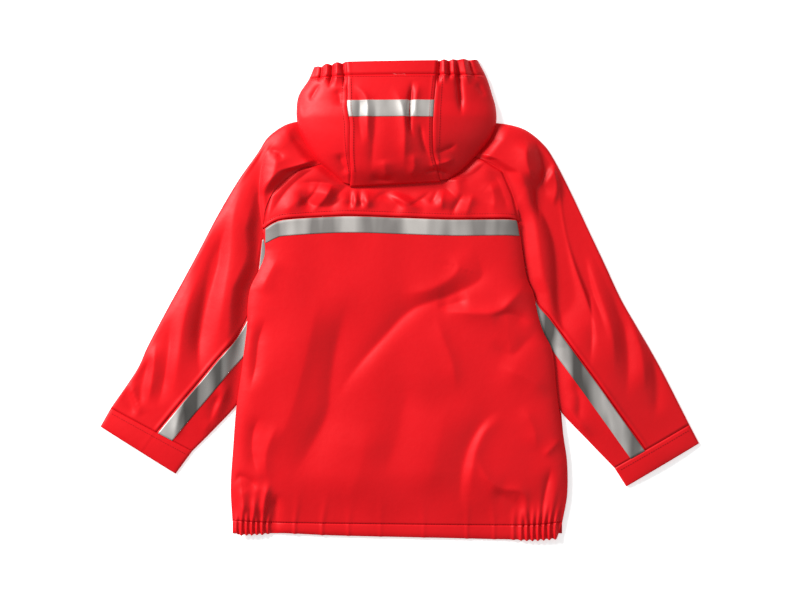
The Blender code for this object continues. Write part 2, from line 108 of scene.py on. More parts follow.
# columns:  outer x, outer y, inner x, inner y, tape
SLEEVE_LEFT = (
    (-361, -135, -259, -189, 0.667),
    (-329, -88, -234, -164, 0.663),
    (-315, -58, -204, -132, 0.675),
    (-293, -16, -190, -108, 0.720),
    (-271, 24, -173, -80, 0.764),
    (-250, 63, -158, -50, 0.760),
    (-228, 105, -150, -25, 0.700),
    (-202, 149, -160, 40, 0.800),
    (-178, 183, -171, 88, 1.000),
    (-164, 204, -160, 131, 1.000),
    (-140, 220, -128, 161, 1.000),
    (-112, 224, -98, 170, 1.000),
    (-75, 222, -62, 187, 1.000),
)
SLEEVE_RIGHT = (
    (362, -156, 268, -210, 0.690),
    (330, -93, 236, -177, 0.680),
    (313, -62, 202, -141, 0.657),
    (296, -33, 187, -117, 0.675),
    (276, 2, 171, -88, 0.706),
    (256, 45, 156, -58, 0.751),
    (237, 85, 148, -30, 0.825),
    (214, 134, 146, 35, 0.960),
    (193, 175, 149, 97, 1.000),
    (178, 196, 141, 130, 1.000),
    (154, 214, 128, 160, 1.000),
    (121, 221, 104, 175, 1.000),
    (80, 221, 62, 190, 1.000),
)
# columns:  outer x, outer y, inner x, inner y
CUFF_END_LEFT = (-374, -158, -280, -217)
CUFF_END_RIGHT = (374, -179, 283, -233)

# columns:  x, y
SIDE_LEFT = (
    (-209, -275), (-211, -233), (-208, -184), (-204, -134), (-197, -83), (-191, -36),
    (-190, -8), (-187, 14), (-179, 31), (-171, 48), (-168, 63), (-171, 88),
)
SIDE_RIGHT = (
    (203, -277), (209, -243), (209, -204), (205, -174), (197, -121), (193, -79), (189, -59), (179, -39),
    (172, -16), (167, 9), (159, 27), (154, 56), (149, 97),
)
YOKE_SEAM = ((-171, 88), (-156, 97), (-139, 101), (-68, 105), (4, 103), (63, 101), (136, 101), (149, 97))
HEM_STITCH = ((-209, -275), (-150, -278), (0, -280), (150, -281), (203, -277))
HEM_EDGE = ((-202, -293), (-150, -292), (-80, -295), (52, -298), (150, -300), (196, -298))
FRONT_HEM_EDGE = HEM_EDGE[0][1] + 1.5
NECK_BACK = ((-62, 187), (0, 180), (62, 190))

# columns:  left seam x, y, left fold x, y, right seam x, y, right fold x, y, height, seam share
HOOD = (
    (-62, 141, -68, 144, 51, 147, 57, 149, 2, 0.93),
    (-61, 160, -86, 160, 47, 163, 76, 161, 17, 0.72),
    (-62, 180, -105, 177, 42, 182, 95, 180, 24, 0.60),
    (-62, 200, -119, 198, 41, 200, 112, 200, 28, 0.50),
    (-62, 220, -127, 217, 41, 220, 120, 219, 30, 0.48),
    (-65, 240, -129, 237, 42, 240, 120, 239, 30, 0.48),
    (-65, 259, -126, 256, 44, 260, 115, 258, 28, 0.48),
    (-66, 278, -114, 275, 46, 279, 108, 279, 25, 0.50),
    (-67, 296, -107, 291, 48, 298, 97, 300, 22, 0.52),
)

# ---------------------------------------------------------------- creases
# Each row is one soft ridge, or a trough where the height is below zero, along a smooth line.
# columns:  width on the line's left and on its right, height, sharpness (2 soft, 1 crisp), then x, y points

BODY_CREASES = (
    # long diagonal folds of the lower back
    (26, 14, -5.0, 2.0, (-58, 12), (-76, -46), (-85, -97), (-90, -141), (-110, -182), (-138, -232)),
    (16, 30, 3.2, 2.0, (-98, 20), (-112, -46), (-124, -97), (-140, -150), (-168, -200)),
    (9, 16, -4.6, 1.6, (90, 76), (99, 48), (100, 26), (60, 5), (15, -12), (-20, -46), (-60, -92),
     (-84, -136)),
    (16, 10, 3.4, 1.8, (64, 62), (72, 36), (40, 14), (0, 6)),
    (12, 9, 4.6, 1.5, (160, 26), (140, 0), (114, -16), (42, -13)),
    (7, 12, -3.2, 1.5, (88, 3), (64, -6), (44, -8)),
    (10, 16, 2.6, 1.7, (43, -12), (52, -43), (66, -82), (70, -120)),
    (8, 10, -3.0, 1.7, (112, -24), (136, -17), (166, -30)),
    (12, 10, -2.4, 1.8, (112, -52), (138, -68), (158, -52), (174, -38)),
    (12, 14, 2.6, 1.8, (120, -82), (160, -98), (190, -118)),
    (9, 15, -3.6, 1.6, (130, -134), (108, -148), (90, -174), (80, -202), (76, -236), (78, -268)),
    (10, 8, 2.8, 1.7, (132, -142), (108, -162), (96, -186), (90, -212), (86, -246)),
    (7, 9, 3.0, 1.4, (94, -192), (108, -220), (127, -235), (152, -239), (164, -262)),
    (14, 10, -2.6, 1.8, (112, -236), (140, -252), (156, -270)),
    (5, 7, -4.2, 1.5, (190, -206), (182, -238), (175, -272)),
    (6, 6, 2.4, 1.5, (178, -196), (190, -184), (202, -172)),
    (9, 12, 2.0, 1.8, (150, -130), (166, -158), (172, -190)),
    (30, 34, 3.0, 2.0, (-40, -150), (-50, -210), (-70, -262)),
    (22, 26, -2.4, 2.0, (10, -90), (0, -160), (-24, -230)),
    (24, 30, 2.4, 2.0, (60, -120), (48, -180), (30, -250)),
    # left side
    (10, 14, 3.2, 1.8, (-150, 56), (-162, 34), (-176, 6)),
    (7, 9, -4.4, 1.6, (-166, -20), (-176, -50), (-180, -82), (-188, -116)),
    (7, 8, 2.4, 1.6, (-184, -10), (-188, -50), (-193, -84)),
    (8, 10, -3.8, 1.6, (-172, -142), (-182, -162), (-184, -190), (-176, -222)),
    (9, 12, 2.6, 1.8, (-150, -150), (-166, -190), (-166, -226)),
    (5, 7, -3.4, 1.5, (-209, -232), (-199, -220), (-184, -228), (-178, -240)),
    (6, 5, 3.0, 1.5, (-199, -232), (-196, -250), (-192, -268)),
    (7, 8, 3.0, 1.6, (-160, -226), (-168, -246), (-174, -272)),
    (6, 8, -4.6, 1.5, (-150, -240), (-157, -262), (-157, -300)),
    # yoke: under the hood and beside the raglan seams
    (16, 5, -3.2, 1.2, (-98, 150), (-108, 132), (-130, 112)),
    (5, 14, 3.0, 1.2, (-84, 148), (-92, 128), (-112, 108)),
    (4, 15, -3.4, 1.2, (-26, 138), (-8, 124), (8, 112)),
    (14, 4, -3.0, 1.2, (44, 140), (24, 124), (6, 114)),
    (16, 5, -3.4, 1.2, (120, 190), (138, 160), (146, 128)),
    (12, 16, -3.6, 1.3, (66, 150), (92, 158), (112, 176)),
    (9, 9, -4.2, 1.6, (-94, 170), (-118, 157), (-139, 139), (-155, 117), (-166, 97)),
    (6, 5, -3.2, 1.4, (-132, 146), (-96, 146), (-64, 138)),
    (9, 14, 3.4, 1.8, (-116, 136), (-96, 133), (-78, 128)),
    (10, 7, -3.6, 1.6, (-124, 142), (-116, 122), (-90, 117), (-66, 131)),
    (12, 12, 2.6, 1.8, (-148, 108), (-128, 122), (-118, 132)),
    (3.5, 5, -4.0, 1.5, (-62, 142), (-61, 126), (-63, 112)),
    (4, 3.5, 3.2, 1.5, (-56, 142), (-55, 124), (-56, 112)),
    (3.5, 4, -3.6, 1.5, (-50, 142), (-49, 125), (-47, 113)),
    (5, 5, 3.2, 1.6, (-42, 142), (-41, 126), (-38, 112)),
    (8, 6, -4.2, 1.5, (-34, 114), (-26, 130), (-6, 136), (18, 128), (38, 119)),
    (6, 7, 3.6, 1.5, (-14, 140), (6, 122), (30, 110)),
    (5, 5, -3.4, 1.4, (38, 118), (44, 130), (48, 142)),
    (5, 6, 2.8, 1.5, (56, 142), (52, 124), (54, 110)),
    (5, 5, -3.0, 1.5, (80, 134), (70, 118), (64, 104)),
    (7, 8, 2.6, 1.7, (92, 134), (86, 116), (80, 102)),
    (12, 10, 2.8, 1.8, (112, 150), (118, 128), (116, 106)),
    (10, 9, -3.0, 1.7, (104, 160), (120, 152), (130, 128), (138, 104)),
    (24, 24, -2.0, 2.0, (70, 110), (100, 118), (128, 112)),
)

SLEEVE_CREASES = (
    # left sleeve
    (8, 12, -7.0, 1.7, (-150, 206), (-170, 176), (-176, 130), (-172, 96), (-178, 62), (-184, 20)),
    (12, 10, 3.0, 1.8, (-152, 190), (-156, 160), (-170, 128)),
    (14, 9, -3.6, 1.7, (-139, 214), (-126, 196), (-112, 184), (-104, 172)),
    (4, 5, -2.4, 1.4, (-166, 188), (-152, 184), (-146, 172)),
    (16, 10, -8.5, 1.8, (-212, 112), (-226, 60), (-241, 4), (-251, -54), (-247, -108)),
    (18, 16, 4.0, 2.0, (-190, 160), (-206, 110), (-212, 56), (-222, -12), (-234, -70)),
    (12, 16, 3.4, 2.0, (-250, 40), (-268, -20), (-276, -70), (-282, -120)),
    (8, 10, -3.6, 1.8, (-286, -14), (-288, -60), (-294, -100), (-302, -136)),
    (8, 8, 2.8, 1.8, (-304, -50), (-308, -90), (-314, -132)),
    (7, 7, -3.0, 1.7, (-310, -66), (-322, -104), (-324, -140)),
    (5, 6, -3.4, 1.5, (-352, -104), (-340, -120), (-330, -146)),
    (6, 6, 2.4, 1.6, (-342, -98), (-332, -118), (-322, -146)),
    (6, 6, 2.6, 1.7, (-266, -120), (-276, -150), (-282, -178)),
    (8, 6, -2.8, 1.7, (-222, -112), (-232, -134), (-238, -164)),
    (10, 8, 3.0, 1.8, (-208, -96), (-222, -126), (-246, -170)),
    # right sleeve
    (14, 5, -4.0, 1.2, (178, 190), (182, 160), (172, 128), (176, 96)),
    (5, 14, 3.6, 1.2, (190, 172), (196, 140), (188, 110)),
    (5, 12, -3.4, 1.2, (226, 60), (236, 10), (240, -40), (236, -90)),
    (34, 12, -11.5, 1.9, (150, 172), (176, 126), (196, 78), (202, 22), (203, -30), (214, -70)),
    (10, 14, 4.6, 1.7, (160, 202), (158, 172), (168, 142)),
    (9, 9, -4.2, 1.7, (168, 204), (180, 168), (176, 138), (168, 124)),
    (7, 9, 3.6, 1.5, (176, 138), (190, 158), (196, 172)),
    (6, 8, 4.4, 1.4, (198, 166), (203, 106), (216, 49), (237, -12), (250, -66)),
    (7, 7, -3.6, 1.7, (204, 146), (216, 92), (228, 44), (250, -16), (262, -60)),
    (10, 12, 3.0, 1.9, (226, 76), (244, 20), (264, -40), (268, -100)),
    (10, 12, -3.6, 1.9, (262, 24), (279, -26), (285, -80), (282, -128)),
    (10, 12, 2.8, 1.9, (290, -16), (302, -70), (306, -120)),
    (8, 8, -2.4, 1.8, (316, -66), (322, -110), (318, -150)),
    (7, 8, -2.6, 1.7, (212, -96), (224, -122), (222, -158)),
    (8, 7, 2.6, 1.7, (200, -118), (214, -140), (240, -178)),
    (8, 8, 2.4, 1.8, (244, -100), (262, -140), (276, -184)),
)

HOOD_CREASES = (
    # left casing and the puckers below it
    (2.6, 2.6, -5.0, 1.6, (-99, 300), (-97.5, 286), (-101, 270)),
    (2.6, 2.6, -5.2, 1.6, (-86, 302), (-84.5, 290), (-86, 272), (-88, 262)),
    (2.6, 2.6, -5.2, 1.6, (-73, 304), (-71, 292), (-69, 276), (-70, 262)),
    (2.2, 2.4, -3.6, 1.6, (-108, 296), (-107, 284), (-110, 272)),
    (4, 4, 2.6, 1.7, (-93, 302), (-91, 286), (-94, 268)),
    (4, 4, 2.6, 1.7, (-80, 304), (-78, 288), (-80, 262)),
    (4, 5, -2.6, 1.6, (-99, 270), (-106, 258), (-113, 246)),
    (5, 6, -2.4, 1.8, (-122, 262), (-124, 246), (-118, 226)),
    (7, 6, -2.6, 1.8, (-78, 264), (-75, 252), (-73, 238)),
    (6, 7, -3.2, 1.7, (-74, 184), (-72, 170), (-64, 156)),
    # right casing and the puckers below it
    (2.4, 2.6, -5.2, 1.6, (50, 306), (49, 286), (48, 264)),
    (2.4, 2.4, -4.6, 1.6, (61, 306), (61, 290), (62, 272)),
    (3.0, 3.2, -6.4, 1.5, (70, 306), (72, 288), (75, 258), (77, 226)),
    (2.4, 2.4, -4.6, 1.6, (85, 308), (89, 290), (95, 274)),
    (3.5, 3.5, 2.6, 1.7, (55, 306), (55, 288), (56, 266)),
    (3.5, 3.5, 2.6, 1.7, (66, 306), (67, 290), (69, 268)),
    (4, 4, 2.8, 1.7, (78, 307), (81, 288), (86, 266)),
    (4, 4, -2.6, 1.6, (96, 272), (102, 262), (108, 252)),
    (2.2, 2.6, -2.2, 1.2, (110, 264), (115, 246), (117, 226), (112, 212)),
    # middle panel
    (5, 5, 3.0, 1.6, (-61, 268), (-48, 260), (-40, 245), (-40, 216), (-38, 190)),
    (6, 5, -2.6, 1.7, (-56, 262), (-50, 246), (-50, 222), (-46, 190)),
    (8, 6, -2.4, 1.8, (-30, 250), (-31, 216), (-34, 180), (-34, 152)),
    (7, 7, 3.6, 1.7, (-10, 268), (2, 244), (6, 218), (6, 182), (4, 158)),
    (1.8, 2.6, -6.0, 1.4, (16, 274), (13.5, 252), (12, 228), (13, 212), (18, 200)),
    (5, 5, 2.4, 1.6, (24, 272), (20, 246), (20, 220)),
    (3, 4, -3.0, 1.5, (25, 222), (28, 200), (34, 183), (44, 179)),
    (3, 3, -2.2, 1.4, (42, 183), (56, 186), (72, 194)),
    (3, 3, -3.0, 1.4, (28, 158), (48, 161), (66, 154)),
    (4, 4, 2.6, 1.6, (34, 166), (54, 170), (70, 176)),
    (7, 6, -2.8, 1.7, (-38, 154), (-22, 149), (-4, 145)),
    (6, 6, 2.4, 1.7, (10, 152), (18, 164), (16, 184)),
    (8, 8, 2.2, 1.8, (-20, 176), (-18, 160), (-14, 148)),
)

# elastic ridges of the body hem.  columns:  x at the stitching, height, reach above the stitching, lean
HEM_RIDGES = (
    (-204.0, 2.2, 14, 2), (-197.6, 2.8, 30, 3), (-191.0, 2.7, 22, 1), (-184.6, 3.0, 34, 5),
    (-178.2, 2.6, 20, -2), (-171.6, 2.8, 38, 5), (-164.6, 1.8, 18, 3), (-131.0, 0.6, 34, 4),
    (-97.0, 0.6, 30, 5), (-64.0, 0.4, 24, 2), (-24.0, 0.3, 28, 1), (30.0, 0.3, 24, -2),
    (84.0, 0.4, 30, 1), (118.0, 0.4, 24, -3), (142.0, 0.9, 22, 2), (151.5, 2.0, 16, 1),
    (158.6, 2.5, 26, -2), (165.6, 2.7, 20, 2), (172.4, 2.9, 30, 4), (179.6, 2.8, 26, 5),
    (186.6, 2.7, 34, 6), (194.0, 2.4, 22, 4),
)

# ---------------------------------------------------------------- curves and heights


def spline(table, where):
    """Points on a Catmull-Rom curve through a table's rows; `where` counts rows from 0."""
    table = np.asarray(table, float)
    where = np.clip(np.asarray(where, float), 0, len(table) - 1)
    row = np.minimum(where.astype(int), len(table) - 2)
    t = (where - row)[..., None]
    ends = np.vstack([2 * table[:1] - table[1:2], table, 2 * table[-1:] - table[-2:-1]])
    a, b, c, d = ends[row], ends[row + 1], ends[row + 2], ends[row + 3]
    return b + 0.5 * t * (c - a + t * (2 * a - 5 * b + 4 * c - d + t * (3 * (b - c) + d - a)))


def run_of(line):
    """Length from a line's start to each of its points."""
    return np.concatenate([[0], np.cumsum(np.linalg.norm(np.diff(line, axis=0), axis=1))])


def along(table, share):
    """Points at given shares of the length of a smooth curve through a table's x, y rows."""
    fine = spline(table, np.linspace(0, len(table) - 1, 30 * len(table)))
    run = run_of(fine)
    return np.stack([np.interp(share * run[-1], run, fine[:, k]) for k in (0, 1)], -1)


def ease(x):
    """0 below 0, 1 above 1 and the cubic step x*x*(3 - 2x) between."""
    x = np.clip(x, 0, 1)
    return x * x * (3 - 2 * x)


def between(table, y):
    """x of an edge at height y, by straight lines between its rows."""
    rows = np.asarray(table, float)
    rows = rows[np.argsort(rows[:, 1])]
    return np.interp(y, rows[:, 1], rows[:, 0])


def creases(x, y, table):
    """Sum of height * exp(-(distance / width) ** sharpness) over a table's lines.

    The width differs on the two sides of a line, and the height eases in and out over its first and last
    third.
    """
    total = np.zeros(np.broadcast(x, y).shape)
    for left, right, height, sharp, *points in table:
        line = spline(points, np.linspace(0, len(points) - 1, 8 * (len(points) - 1) + 1))
        reach = 3 * max(left, right)
        low, high = line.min(0) - reach, line.max(0) + reach
        near = (x > low[0]) & (x < high[0]) & (y > low[1]) & (y < high[1])
        if not near.any():
            continue
        px, py = x[near], y[near]
        best = np.full(px.shape, 1e9)
        side = np.zeros(px.shape)
        share = np.zeros(px.shape)
        run = run_of(line)
        for k in range(len(line) - 1):
            ax, ay = line[k]
            dx, dy = line[k + 1] - line[k]
            length = run[k + 1] - run[k]
            t = np.clip(((px - ax) * dx + (py - ay) * dy) / length**2, 0, 1)
            off_x, off_y = px - ax - t * dx, py - ay - t * dy
            distance = np.hypot(off_x, off_y)
            closer = distance < best
            best = np.where(closer, distance, best)
            side = np.where(closer, dx * off_y - dy * off_x, side)
            share = np.where(closer, (run[k] + t * length) / run[-1], share)
        turn = side / (np.abs(side) + 1e-6) * np.minimum(best / 2, 1)
        width = left + (right - left) * ease(0.5 - turn / 2)
        shape = np.exp(-((best / width) ** (1 + CRISP * (sharp - 1))))
        total[near] += height * shape * ease(share * 3) * ease((1 - share) * 3)
    return total


def wander(x, y, step, seed):
    """Slow unevenness from -1 to 1: a sum of four sine waves in set directions, about `step` long."""
    total = np.zeros(np.broadcast(x, y).shape)
    for k in range(4):
        turn = seed + 2.4 * k
        wave = 2 * math.pi / (step * (0.8 + 0.23 * k))
        total += np.sin(wave * (x * math.cos(turn) + y * math.sin(turn)) + 1.7 * seed + k)
    return total / 4


def hood_clearance(x, y):
    """0 under the hood and just round it, 1 well away from it."""
    hood = np.asarray(HOOD, float)
    left = np.interp(y, hood[:, 3], hood[:, 2])
    right = np.interp(y, hood[:, 7], hood[:, 6])
    away = np.maximum(np.maximum(left - x, x - right), HOOD[0][1] - y)
    return ease((away + 3) / 22)


def body_sides(y):
    """x of the back's left and right edges: its sides, and its raglan seams above the yoke seam."""
    left = SIDE_LEFT + tuple(row[2:4] for row in SLEEVE_LEFT[RAGLAN + 1:])
    right = SIDE_RIGHT + tuple(row[2:4] for row in SLEEVE_RIGHT[RAGLAN + 1:])
    return between(left, y), between(right, y)


def over_sleeve(x, y):
    """1 where the back lies over a sleeve's hidden edge, 0 elsewhere."""
    result = np.zeros(np.broadcast(x, y).shape)
    for sign, sleeve in ((-1, SLEEVE_LEFT), (1, SLEEVE_RIGHT)):
        hidden = [row[2:4] for row in sleeve[2:RAGLAN + 1]]
        foot = hidden[0]
        hidden = [(foot[0] + sign * 30, foot[1] - 50)] + hidden
        out = sign * (x - between(hidden, y))
        result = np.maximum(result, ease((out + 75) / 68))
    return result


def raglan_rise(x, y):
    """How far the raglan seams stand up between the underarm and the hood."""
    return RAGLAN_RISE * ease((y - 84) / 30) * hood_clearance(x, y)


def lifted(height):
    """A height that never sinks into the layer below: (h + sqrt(h * h + 1)) / 2."""
    return (height + np.sqrt(height**2 + 1.0)) / 2


def hem_gathers(x, y):
    """Elastic ridges across the hem: narrow bell curves that lean and fade above the stitching."""
    total = np.zeros(np.broadcast(x, y).shape)
    for centre, height, reach, lean in HEM_RIDGES:
        above = np.clip((y - HEM_LINE) / reach, 0, 3)
        at = centre + lean * above
        total += 1.35 * height * np.exp(-((x - at) / (2.2 + 2.5 * above)) ** 2) * np.exp(-above**2)
    return total


def seam_relief(x, y):
    """A narrow groove along the yoke seam, its allowance raised above it, and the hem stitching's dip."""
    seam = np.asarray(YOKE_SEAM, float)
    off = y - np.interp(x, seam[:, 0], seam[:, 1])
    hem = np.asarray(HEM_STITCH, float)
    low = y - np.interp(x, hem[:, 0], hem[:, 1])
    yoke = 0.8 * np.exp(-(((off - 3.4) / 3.2) ** 2)) - 1.3 * np.exp(-((off / 1.4) ** 2))
    return yoke - 0.25 * np.exp(-((low / 2.0) ** 2)) - 0.5 * np.exp(-((off - TOPSTITCH) ** 2))


def body_top(x, y, yoke=False):
    """Height of the outside of the back.

    The puff is BODY_PUFF * (1 - exp(-inside / 11)), with inside the distance from the nearer edge, less
    towards the hem and none under the hood.  The raglan's rise, the creases, the seams and the hem's gathers
    are added.
    """
    left, right = body_sides(y)
    inside = np.maximum(np.minimum(x - left, right - x), 0)
    roll = 1 - np.exp(-inside / 11)
    low = 0.25 + 0.75 * ease((y + 283) / 70)
    clear = hood_clearance(x, y)
    puff = BODY_PUFF * roll * low * clear
    puff = puff + raglan_rise(x, y) * np.exp(-inside / 22)
    above = 1 + 0.2 * ease((y - 104) / 10)
    wrinkles = creases(x, y, BODY_CREASES) * above * (0.15 + 0.85 * roll)
    wrinkles = wrinkles + 0.7 * wander(x, y, 70, 3.1) * roll
    height = lifted(puff + wrinkles * clear + seam_relief(x, y) * clear) + hem_gathers(x, y)
    tuck = -YOKE_TUCK * (1 - ease(inside / 3))
    return 2 * FOLD + height + (tuck if yoke else OVER_SLEEVE * over_sleeve(x, y))


# ---------------------------------------------------------------- meshes

def mesh_from(name, points, faces, material, uv=None):
    """A mesh object at the origin from millimetre points and a face array."""
    mesh = bpy.data.meshes.new(name)
    mesh.from_pydata((points * MM).tolist(), [], faces.tolist())
    mesh.shade_smooth()
    mesh.materials.append(material)
    if uv is not None:
        layer = mesh.uv_layers.new(name="cut")
        corner = np.empty(len(mesh.loops), np.int32)
        mesh.loops.foreach_get("vertex_index", corner)
        layer.data.foreach_set("uv", uv[corner].ravel())
    return placed(name, mesh)


def cloth(name, grid, material, thickness=CLOTH, ring=False, outward=False):
    """A thin shell from a grid of points on its outside.  The wall goes inwards, or outwards where said.

    Its UV map holds the distance along the two grid directions in metres, as on the flat cut.
    """
    rows, columns = grid.shape[:2]
    index = np.arange(rows * columns).reshape(rows, columns)
    right = np.roll(index, -1, axis=1)
    if not ring:
        index, right = index[:, :-1], right[:, :-1]
    quads = np.stack([index[:-1], right[:-1], right[1:], index[1:]], -1).reshape(-1, 4)
    points = grid.reshape(-1, 3)
    a, b, c = points[quads[0][:3]]
    if np.cross(b - a, c - a)[2] < 0:
        quads = quads[:, ::-1]
    step_u = np.linalg.norm(np.diff(grid, axis=1), axis=2)
    step_v = np.linalg.norm(np.diff(grid, axis=0), axis=2)
    u = np.concatenate([np.zeros((rows, 1)), np.cumsum(step_u, axis=1)], 1)
    v = np.concatenate([np.zeros((1, columns)), np.cumsum(step_v, axis=0)], 0)
    uv = np.stack([u, v], -1).reshape(-1, 2) * MM
    piece = mesh_from(name, points, quads, material, uv)
    wall = piece.modifiers.new("wall", "SOLIDIFY")
    wall.thickness = thickness * MM
    wall.offset = 1 if outward else -1
    return piece


def raised(plan, height):
    """Plan points with a height each."""
    return np.concatenate([plan, np.broadcast_to(height, plan.shape[:2])[..., None]], -1)


def rounded(start, across, height, steps=7):
    """Points round a pressed fold that starts at `start` and faces away from `across`, from top to bottom."""
    turn = np.radians(np.linspace(70, -70, steps))[None, :, None]
    plan = start[:, None] + across[:, None] * FOLD * (1 - np.cos(turn))
    level = height[:, None, None] + FOLD * (1 + np.sin(turn)) + np.zeros(plan.shape[:2] + (1,))
    return np.concatenate([plan, level], -1)


def filled(bottom, top, left, right, height):
    """Plan points of a panel between four sampled edges: two ruled blends less the corners' blend."""
    u = np.linspace(0, 1, len(bottom))[None, :, None]
    v = height[:, None, None]
    ruled = (1 - v) * bottom[None] + v * top[None] + (1 - u) * left[:, None] + u * right[:, None]
    low = (1 - u) * bottom[0] + u * bottom[-1]
    high = (1 - u) * top[0] + u * top[-1]
    return ruled - (1 - v) * low - v * high


# ---------------------------------------------------------------- materials

def group_noise(nodes, links, vector, scale, detail):
    """A noise texture on a vector socket."""
    noise = nodes.new("ShaderNodeTexNoise")
    noise.inputs["Scale"].default_value = scale
    noise.inputs["Detail"].default_value = detail
    links.new(vector, noise.inputs["Vector"])
    return noise


def tone_group(name, colours, outputs):
    """A node group with colour inputs and named outputs, its two ends and its Object coordinates."""
    group = bpy.data.node_groups.new(name, "ShaderNodeTree")
    for key in colours:
        group.interface.new_socket(key, in_out="INPUT", socket_type="NodeSocketColor")
    for key, kind in outputs.items():
        group.interface.new_socket(key, in_out="OUTPUT", socket_type="NodeSocket" + kind)
    nodes = group.nodes
    start = nodes.new("NodeGroupInput")
    end = nodes.new("NodeGroupOutput")
    return group, start, end, nodes.new("ShaderNodeTexCoord").outputs["Object"]


def mixed(nodes, links, factor, dark, light, out):
    """Mix two colours by a factor, from the dark one at 0 to the light one at 1."""
    mix = nodes.new("ShaderNodeMix")
    mix.data_type = "RGBA"
    links.new(factor, mix.inputs["Factor"])
    links.new(dark, mix.inputs["A"])
    links.new(light, mix.inputs["B"])
    links.new(mix.outputs["Result"], out)


def bumped(nodes, links, height, strength, distance):
    """A bump node on a height socket."""
    bump = nodes.new("ShaderNodeBump")
    bump.inputs["Strength"].default_value = strength
    bump.inputs["Distance"].default_value = distance
    links.new(height, bump.inputs["Height"])
    return bump


def cloth_group():
    """Node group: mottled colour and a fine bump for coated cloth, from Object coordinates."""
    outputs = {"Color": "Color", "Roughness": "Float", "Normal": "Vector"}
    group, start, end, place = tone_group("coated_cloth_tone", ("Light", "Deep"), outputs)
    nodes, links = group.nodes, group.links
    broad = group_noise(nodes, links, place, 14.0, 3.0)
    fine = group_noise(nodes, links, place, 900.0, 2.0)
    small = group_noise(nodes, links, place, 130.0, 4.0)
    factor = broad.outputs["Fac"]
    mixed(nodes, links, factor, start.outputs["Deep"], start.outputs["Light"], end.inputs["Color"])
    spread = nodes.new("ShaderNodeMapRange")
    spread.inputs["To Min"].default_value = 0.42
    spread.inputs["To Max"].default_value = 0.56
    links.new(small.outputs["Fac"], spread.inputs["Value"])
    links.new(spread.outputs["Result"], end.inputs["Roughness"])
    crumple = bumped(nodes, links, small.outputs["Fac"], 0.30, 0.0006)
    weave = bumped(nodes, links, fine.outputs["Fac"], 0.25, 0.0001)
    links.new(crumple.outputs["Normal"], weave.inputs["Normal"])
    links.new(weave.outputs["Normal"], end.inputs["Normal"])
    return group


def tape_group():
    """Node group: silver tape, soft slanting streaks of painted highlight on its grey and a faint grain, from
    Object coordinates.
    """
    outputs = {"Color": "Color", "Normal": "Vector"}
    group, start, end, place = tone_group("tape_tone", ("Light", "Dark"), outputs)
    nodes, links = group.nodes, group.links
    stretch = nodes.new("ShaderNodeMapping")
    stretch.inputs["Scale"].default_value = (1.0, 0.16, 1.0)
    stretch.inputs["Rotation"].default_value = (0.0, 0.0, 0.55)
    links.new(place, stretch.inputs["Vector"])
    # the slanting streaks are painted highlight: lighter and darker bands of sheen mixed into the tape's grey
    painted_highlight_streak = group_noise(nodes, links, stretch.outputs["Vector"], 34.0, 1.5)
    grain = group_noise(nodes, links, place, 1500.0, 1.0)
    spread = nodes.new("ShaderNodeMapRange")
    spread.inputs["From Min"].default_value = 0.38
    spread.inputs["From Max"].default_value = 0.62
    links.new(painted_highlight_streak.outputs["Fac"], spread.inputs["Value"])
    factor = spread.outputs["Result"]
    mixed(nodes, links, factor, start.outputs["Dark"], start.outputs["Light"], end.inputs["Color"])
    bump = bumped(nodes, links, grain.outputs["Fac"], 0.2, 0.0001)
    links.new(bump.outputs["Normal"], end.inputs["Normal"])
    return group


def plain(name, colour, roughness, metallic=0.0):
    """A Principled material."""
    material = bpy.data.materials.new(name)
    material.use_nodes = True
    shader = material.node_tree.nodes["Principled BSDF"]
    shader.inputs["Base Color"].default_value = (*colour, 1.0)
    shader.inputs["Roughness"].default_value = roughness
    shader.inputs["Metallic"].default_value = metallic
    shader.inputs["Specular IOR Level"].default_value = 0.17
    material.diffuse_color = (*colour, 1.0)
    return material


def grouped(name, group, colours, roughness, metallic=0.0):
    """A Principled material fed by a node group with two colours."""
    material = plain(name, next(iter(colours.values())), roughness, metallic)
    nodes, links = material.node_tree.nodes, material.node_tree.links
    shader = nodes["Principled BSDF"]
    tone = nodes.new("ShaderNodeGroup")
    tone.node_tree = group
    for key, colour in colours.items():
        tone.inputs[key].default_value = (*colour, 1.0)
    links.new(tone.outputs["Color"], shader.inputs["Base Color"])
    links.new(tone.outputs["Normal"], shader.inputs["Normal"])
    if "Roughness" in tone.outputs:
        links.new(tone.outputs["Roughness"], shader.inputs["Roughness"])
    return material


RED_TONE = cloth_group()
TAPE_TONE = tape_group()
RED = grouped("coated_cloth", RED_TONE, {"Light": (0.66, 0.004, 0.009), "Deep": (0.55, 0.002, 0.005)}, 0.45)
# The tapes' Light and Dark ends paint highlight streaks over the tape's own grey.
SILVER_TONES = {"Light": (0.46, 0.435, 0.41), "Dark": (0.20, 0.185, 0.175)}
SHADED_TONES = {"Light": (0.46, 0.44, 0.42), "Dark": (0.085, 0.08, 0.075)}
SILVER = grouped("reflective_tape", TAPE_TONE, SILVER_TONES, 0.52, 0.30)
SHADED = grouped("reflective_tape_shaded", TAPE_TONE, SHADED_TONES, 0.45, 0.40)
THREAD = plain("thread", (0.36, 0.003, 0.007), 0.6)
PLASTIC = plain("zip_plastic", (0.60, 0.010, 0.018), 0.42)


# ---------------------------------------------------------------- declaring pieces


def declare(piece, node):
    """Ride on the body and stand in for the node."""
    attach(piece, "root")
    if node:
        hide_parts(node)


def sheet(name, node, grid, thickness=CLOTH, ring=False, outward=False):
    """One piece of the red cloth, declared with its cut."""
    piece = cloth(name, grid, RED, thickness, ring, outward)
    declare(piece, node)


def sewn_tape(name, node, grid, material=SILVER):
    """One tape, declared with its cut, on the piece it is sewn to."""
    piece = cloth(name, grid, material, TAPE_CLOTH)
    declare(piece, node)


# ---------------------------------------------------------------- stitching

